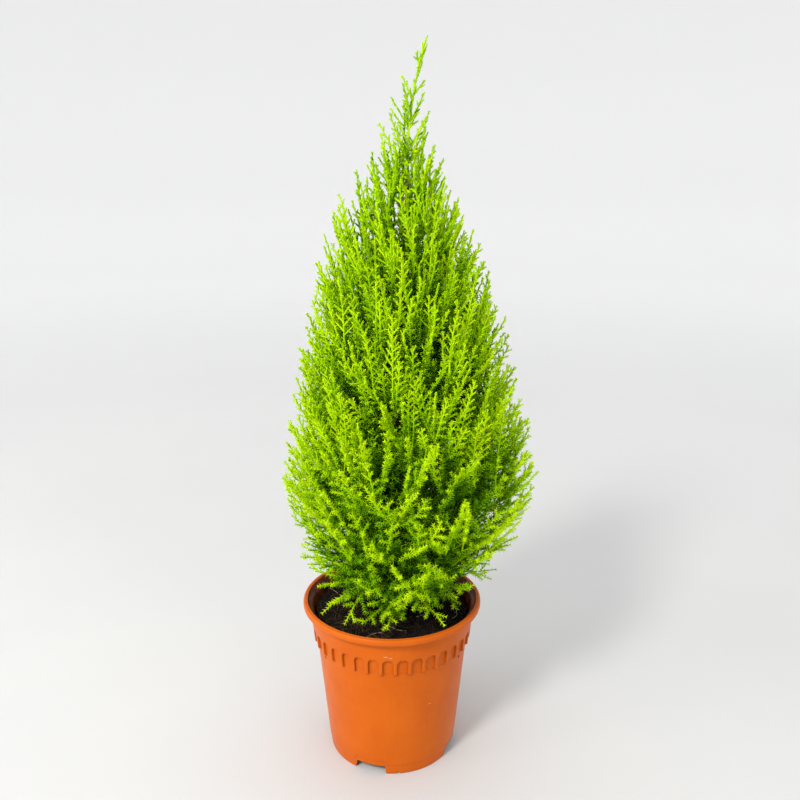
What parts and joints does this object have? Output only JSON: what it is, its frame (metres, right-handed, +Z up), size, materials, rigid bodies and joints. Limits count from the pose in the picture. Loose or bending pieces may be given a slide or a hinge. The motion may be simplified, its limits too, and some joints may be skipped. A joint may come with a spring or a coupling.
{
  "type": "potted conifer",
  "caption": "Young golden Monterey cypress with a dense teardrop crown of upright feathery sprays, in a round tapered plastic nursery pot filled with potting mix.",
  "frame": {"origin": "centre of the pot's foot, on the ground", "axes": "+Z up along the trunk, -Y towards the viewer of the picture, +X to that viewer's right"},
  "size_m": [0.2173, 0.2237, 0.6161],
  "materials": {
    "pot_plastic": "smooth moulded terracotta-coloured plastic with a low sheen",
    "potting_mix": "dark crumbly mix of peat, bark and coir fibre",
    "bark": "thin reddish-brown bark, finely fissured",
    "foliage": "short soft needles, yellow-green and darker inside the crown"
  },
  "bodies": {
    "root": {"bough_1": "bark", "bough_2": "bark", "bough_3": "bark", "bough_4": "bark", "bough_5": "bark", "bough_6": "bark", "foliage_1": "foliage", "foliage_10": "foliage", "foliage_11": "foliage", "foliage_12": "foliage", "foliage_13": "foliage", "foliage_14": "foliage", "foliage_15": "foliage", "foliage_16": "foliage", "foliage_17": "foliage", "foliage_18": "foliage", "foliage_19": "foliage", "foliage_2": "foliage", "foliage_20": "foliage", "foliage_21": "foliage", "foliage_22": "foliage", "foliage_23": "foliage", "foliage_24": "foliage", "foliage_25": "foliage", "foliage_26": "foliage", "foliage_27": "foliage", "foliage_28": "foliage", "foliage_29": "foliage", "foliage_3": "foliage", "foliage_30": "foliage", "foliage_31": "foliage", "foliage_32": "foliage", "foliage_33": "foliage", "foliage_34": "foliage", "foliage_35": "foliage", "foliage_36": "foliage", "foliage_37": "foliage", "foliage_38": "foliage", "foliage_39": "foliage", "foliage_4": "foliage", "foliage_40": "foliage", "foliage_41": "foliage", "foliage_42": "foliage", "foliage_43": "foliage", "foliage_44": "foliage", "foliage_45": "foliage", "foliage_46": "foliage", "foliage_47": "foliage", "foliage_48": "foliage", "foliage_5": "foliage", "foliage_6": "foliage", "foliage_7": "foliage", "foliage_8": "foliage", "foliage_9": "foliage", "foliage_leader": "foliage", "pot": "pot_plastic", "potting_mix": "potting_mix", "trunk": "bark"}
  },
  "joints": []
}
